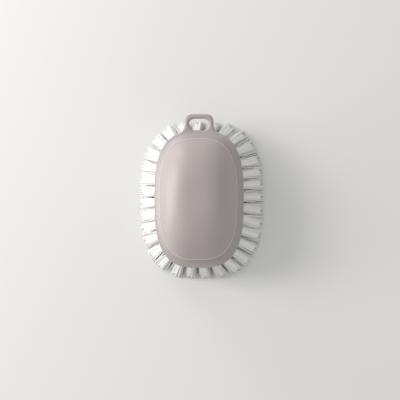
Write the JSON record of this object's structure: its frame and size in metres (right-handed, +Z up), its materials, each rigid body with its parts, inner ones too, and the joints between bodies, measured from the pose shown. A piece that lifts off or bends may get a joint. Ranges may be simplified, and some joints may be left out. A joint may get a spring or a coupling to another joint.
{
  "type": "palm brush",
  "caption": "Palm-held scrubbing brush: a domed oval grip cover over a collared brush block with a hanging loop and rows of splayed nylon tufts.",
  "frame": {"origin": "where the middle tuft's centre strand stands on the floor, under the middle of the oval block", "axes": "+Z up out of the dome, +Y along the brush towards the hanging loop, +X across it to the right"},
  "size_m": [0.1018, 0.1304, 0.0538],
  "materials": {
    "cover": "fine matte, warm grey",
    "block": "fine matte, warm grey",
    "bristle": "white nylon filament, slightly translucent",
    "anchor": "drawn flat wire"
  },
  "bodies": {
    "root": {"grip_cover": "cover", "brush_block": "block", "tuft_anchors": "anchor", "outer_tuft_01": "bristle", "outer_tuft_02": "bristle", "outer_tuft_03": "bristle", "outer_tuft_04": "bristle", "outer_tuft_05": "bristle", "outer_tuft_06": "bristle", "outer_tuft_07": "bristle", "outer_tuft_08": "bristle", "outer_tuft_09": "bristle", "outer_tuft_10": "bristle", "outer_tuft_11": "bristle", "outer_tuft_12": "bristle", "outer_tuft_13": "bristle", "outer_tuft_14": "bristle", "outer_tuft_15": "bristle", "outer_tuft_16": "bristle", "outer_tuft_17": "bristle", "outer_tuft_18": "bristle", "outer_tuft_19": "bristle", "outer_tuft_20": "bristle", "outer_tuft_21": "bristle", "outer_tuft_22": "bristle", "outer_tuft_23": "bristle", "outer_tuft_24": "bristle", "outer_tuft_25": "bristle", "outer_tuft_26": "bristle", "outer_tuft_27": "bristle", "outer_tuft_28": "bristle", "outer_tuft_29": "bristle", "outer_tuft_30": "bristle", "outer_tuft_31": "bristle", "outer_tuft_32": "bristle", "second_row_tufts": "bristle", "third_row_tufts": "bristle", "middle_tufts": "bristle"}
  },
  "joints": []
}
